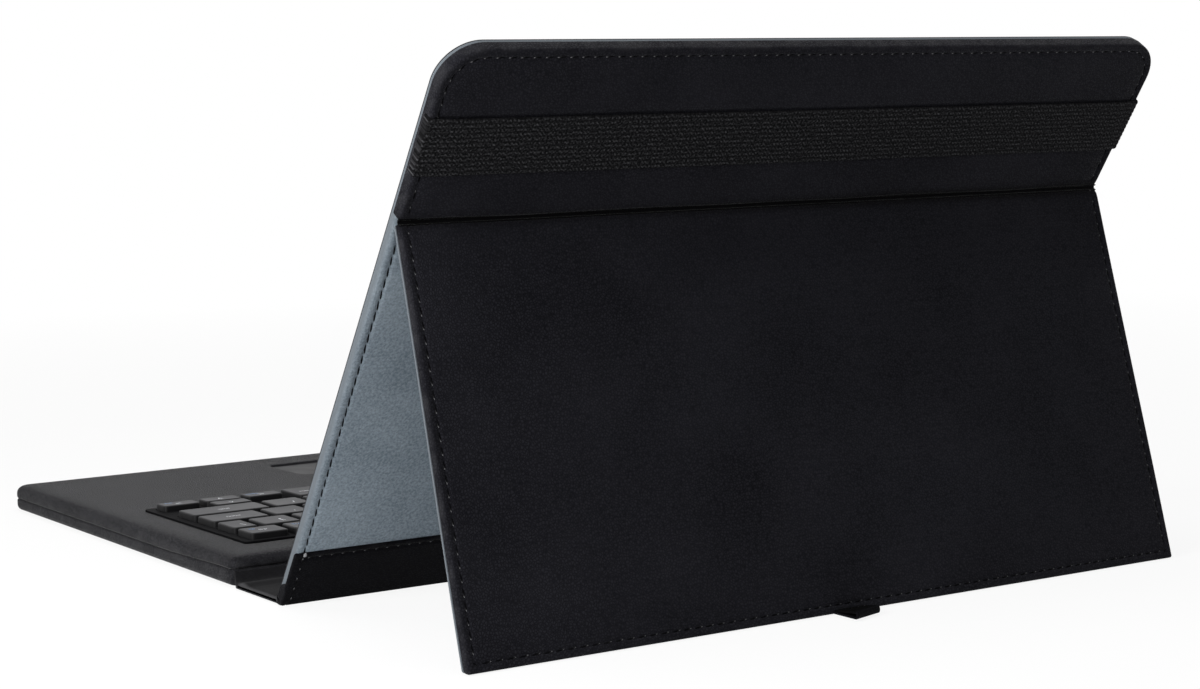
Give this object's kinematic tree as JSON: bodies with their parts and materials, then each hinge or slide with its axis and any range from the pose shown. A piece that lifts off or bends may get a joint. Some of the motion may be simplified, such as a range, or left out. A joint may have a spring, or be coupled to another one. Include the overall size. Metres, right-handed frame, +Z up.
{
  "type": "tablet keyboard case",
  "caption": "Folding leather tablet case standing open: a flat keyboard base with a touchpad, a folding spine, a leaning tablet panel with elastic straps and a fold-out stand flap.",
  "frame": {"origin": "centre of the keyboard base on the table plane", "axes": "+X the user's right, +Y from the front of the keyboard to the stand, +Z up"},
  "size_m": [0.2696, 0.384, 0.1738],
  "materials": {
    "black_leather": "fine grain, low sheen",
    "grey_suede": "napped, matt",
    "black_lining": "matt",
    "elastic": "ribbed weave",
    "stiff_board": "pressed fibre",
    "housing_plastic": "matt",
    "touchpad_plastic": "smooth",
    "key_plastic": "satin",
    "circuit_board": "semi-gloss",
    "membrane_film": "film",
    "dome_rubber": "matt",
    "steel": "plain",
    "battery_foil": "foil pouch"
  },
  "bodies": {
    "keyboard_base": {"base_board": "stiff_board", "base_cover": "black_leather", "battery": "battery_foil", "charging_port": "steel", "controller_board": "circuit_board", "dome_sheet": "dome_rubber", "housing_floor": "housing_plastic", "housing_lid": "housing_plastic", "housing_screws": "steel", "key_plate": "housing_plastic", "membrane": "membrane_film", "pad_wrap": "black_leather", "support_plate": "steel", "switch_body": "housing_plastic", "touchpad": "touchpad_plastic", "touchpad_board": "circuit_board"},
    "spine": {"spine_leather": "black_leather", "spine_board": "stiff_board", "spine_liner": "black_lining"},
    "tablet_panel": {"panel_board": "stiff_board", "panel_suede": "grey_suede", "panel_lining": "black_lining", "panel_hem": "black_leather", "corner_strap_bottom_left": "elastic", "corner_strap_bottom_right": "elastic", "corner_strap_top_left": "elastic", "corner_strap_top_right": "elastic", "top_cover_leather": "black_leather", "top_cover_board": "stiff_board", "top_cover_suede": "grey_suede", "closure_strap": "elastic"},
    "stand_flap": {"flap_leather": "black_leather", "flap_board": "stiff_board", "flap_suede": "grey_suede"},
    "pull_tab": {"pull_tab": "black_leather"},
    "power_switch": {"power_switch": "housing_plastic"},
    "backslash_key": {"backslash_key": "key_plastic"},
    "caps_key": {"caps_key": "key_plastic"},
    "control_key": {"control_key": "key_plastic"},
    "delete_key": {"delete_key": "key_plastic"},
    "down_arrow_key": {"down_arrow_key": "key_plastic"},
    "enter_key": {"enter_key": "key_plastic"},
    "escape_key": {"escape_key": "key_plastic"},
    "function_key": {"function_key": "key_plastic"},
    "home_letter_keys": {"home_letter_keys": "key_plastic"},
    "left_alt_key": {"left_alt_key": "key_plastic"},
    "left_arrow_key": {"left_arrow_key": "key_plastic"},
    "left_shift_key": {"left_shift_key": "key_plastic"},
    "lower_letter_keys": {"lower_letter_keys": "key_plastic"},
    "menu_key": {"menu_key": "key_plastic"},
    "number_keys": {"number_keys": "key_plastic"},
    "right_alt_key": {"right_alt_key": "key_plastic"},
    "right_arrow_key": {"right_arrow_key": "key_plastic"},
    "right_shift_key": {"right_shift_key": "key_plastic"},
    "space_bar": {"space_bar": "key_plastic"},
    "symbol_key": {"symbol_key": "key_plastic"},
    "tab_key": {"tab_key": "key_plastic"},
    "up_arrow_key": {"up_arrow_key": "key_plastic"},
    "upper_letter_keys": {"upper_letter_keys": "key_plastic"}
  },
  "joints": [
    {"name": "spine_fold", "type": "hinge", "parent": "keyboard_base", "child": "spine", "pos_m": [0, 0.1076, 0.00105], "axis": [1, 0, 0], "range_deg": [0, 90]},
    {"name": "panel_fold", "type": "hinge", "parent": "spine", "child": "tablet_panel", "pos_m": [0, 0.1421, 0.00105], "axis": [1, 0, 0], "range_deg": [-55.5, 34.5]},
    {"name": "stand_fold", "type": "hinge", "parent": "tablet_panel", "child": "stand_flap", "pos_m": [0, 0.23117, 0.12367], "axis": [1, 0, 0], "range_deg": [-49.8, 40]},
    {"name": "tab_fold", "type": "hinge", "parent": "stand_flap", "child": "pull_tab", "pos_m": [0.003, 0.266, 0.0008], "axis": [1, 0, 0], "range_deg": [-60, 60]},
    {"name": "power_switch_slide", "type": "slide", "parent": "keyboard_base", "child": "power_switch", "axis": [0, 1, 0], "range_m": [0, 0.003]},
    {"name": "backslash_press", "type": "slide", "parent": "keyboard_base", "child": "backslash_key", "axis": [0, 0, 1], "range_m": [-0.0015, 0], "stiffness_N_per_m": 400, "springref_m": 0.0003},
    {"name": "caps_press", "type": "slide", "parent": "keyboard_base", "child": "caps_key", "axis": [0, 0, 1], "range_m": [-0.0015, 0], "stiffness_N_per_m": 400, "springref_m": 0.0003},
    {"name": "control_press", "type": "slide", "parent": "keyboard_base", "child": "control_key", "axis": [0, 0, 1], "range_m": [-0.0015, 0], "stiffness_N_per_m": 400, "springref_m": 0.0003},
    {"name": "delete_press", "type": "slide", "parent": "keyboard_base", "child": "delete_key", "axis": [0, 0, 1], "range_m": [-0.0015, 0], "stiffness_N_per_m": 400, "springref_m": 0.0003},
    {"name": "down_arrow_press", "type": "slide", "parent": "keyboard_base", "child": "down_arrow_key", "axis": [0, 0, 1], "range_m": [-0.0015, 0], "stiffness_N_per_m": 400, "springref_m": 0.0003},
    {"name": "enter_press", "type": "slide", "parent": "keyboard_base", "child": "enter_key", "axis": [0, 0, 1], "range_m": [-0.0015, 0], "stiffness_N_per_m": 400, "springref_m": 0.0003},
    {"name": "escape_press", "type": "slide", "parent": "keyboard_base", "child": "escape_key", "axis": [0, 0, 1], "range_m": [-0.0015, 0], "stiffness_N_per_m": 400, "springref_m": 0.0003},
    {"name": "function_press", "type": "slide", "parent": "keyboard_base", "child": "function_key", "axis": [0, 0, 1], "range_m": [-0.0015, 0], "stiffness_N_per_m": 400, "springref_m": 0.0003},
    {"name": "home_letter_row_press", "type": "slide", "parent": "keyboard_base", "child": "home_letter_keys", "axis": [0, 0, 1], "range_m": [-0.0015, 0], "stiffness_N_per_m": 1200, "springref_m": 0.0003},
    {"name": "left_alt_press", "type": "slide", "parent": "keyboard_base", "child": "left_alt_key", "axis": [0, 0, 1], "range_m": [-0.0015, 0], "stiffness_N_per_m": 400, "springref_m": 0.0003},
    {"name": "left_arrow_press", "type": "slide", "parent": "keyboard_base", "child": "left_arrow_key", "axis": [0, 0, 1], "range_m": [-0.0015, 0], "stiffness_N_per_m": 400, "springref_m": 0.0003},
    {"name": "left_shift_press", "type": "slide", "parent": "keyboard_base", "child": "left_shift_key", "axis": [0, 0, 1], "range_m": [-0.0015, 0], "stiffness_N_per_m": 400, "springref_m": 0.0003},
    {"name": "lower_letter_row_press", "type": "slide", "parent": "keyboard_base", "child": "lower_letter_keys", "axis": [0, 0, 1], "range_m": [-0.0015, 0], "stiffness_N_per_m": 1200, "springref_m": 0.0003},
    {"name": "menu_press", "type": "slide", "parent": "keyboard_base", "child": "menu_key", "axis": [0, 0, 1], "range_m": [-0.0015, 0], "stiffness_N_per_m": 400, "springref_m": 0.0003},
    {"name": "number_row_press", "type": "slide", "parent": "keyboard_base", "child": "number_keys", "axis": [0, 0, 1], "range_m": [-0.0015, 0], "stiffness_N_per_m": 1200, "springref_m": 0.0003},
    {"name": "right_alt_press", "type": "slide", "parent": "keyboard_base", "child": "right_alt_key", "axis": [0, 0, 1], "range_m": [-0.0015, 0], "stiffness_N_per_m": 400, "springref_m": 0.0003},
    {"name": "right_arrow_press", "type": "slide", "parent": "keyboard_base", "child": "right_arrow_key", "axis": [0, 0, 1], "range_m": [-0.0015, 0], "stiffness_N_per_m": 400, "springref_m": 0.0003},
    {"name": "right_shift_press", "type": "slide", "parent": "keyboard_base", "child": "right_shift_key", "axis": [0, 0, 1], "range_m": [-0.0015, 0], "stiffness_N_per_m": 400, "springref_m": 0.0003},
    {"name": "space_bar_press", "type": "slide", "parent": "keyboard_base", "child": "space_bar", "axis": [0, 0, 1], "range_m": [-0.0015, 0], "stiffness_N_per_m": 400, "springref_m": 0.0003},
    {"name": "symbol_press", "type": "slide", "parent": "keyboard_base", "child": "symbol_key", "axis": [0, 0, 1], "range_m": [-0.0015, 0], "stiffness_N_per_m": 400, "springref_m": 0.0003},
    {"name": "tab_press", "type": "slide", "parent": "keyboard_base", "child": "tab_key", "axis": [0, 0, 1], "range_m": [-0.0015, 0], "stiffness_N_per_m": 400, "springref_m": 0.0003},
    {"name": "up_arrow_press", "type": "slide", "parent": "keyboard_base", "child": "up_arrow_key", "axis": [0, 0, 1], "range_m": [-0.0015, 0], "stiffness_N_per_m": 400, "springref_m": 0.0003},
    {"name": "upper_letter_row_press", "type": "slide", "parent": "keyboard_base", "child": "upper_letter_keys", "axis": [0, 0, 1], "range_m": [-0.0015, 0], "stiffness_N_per_m": 1200, "springref_m": 0.0003}
  ]
}
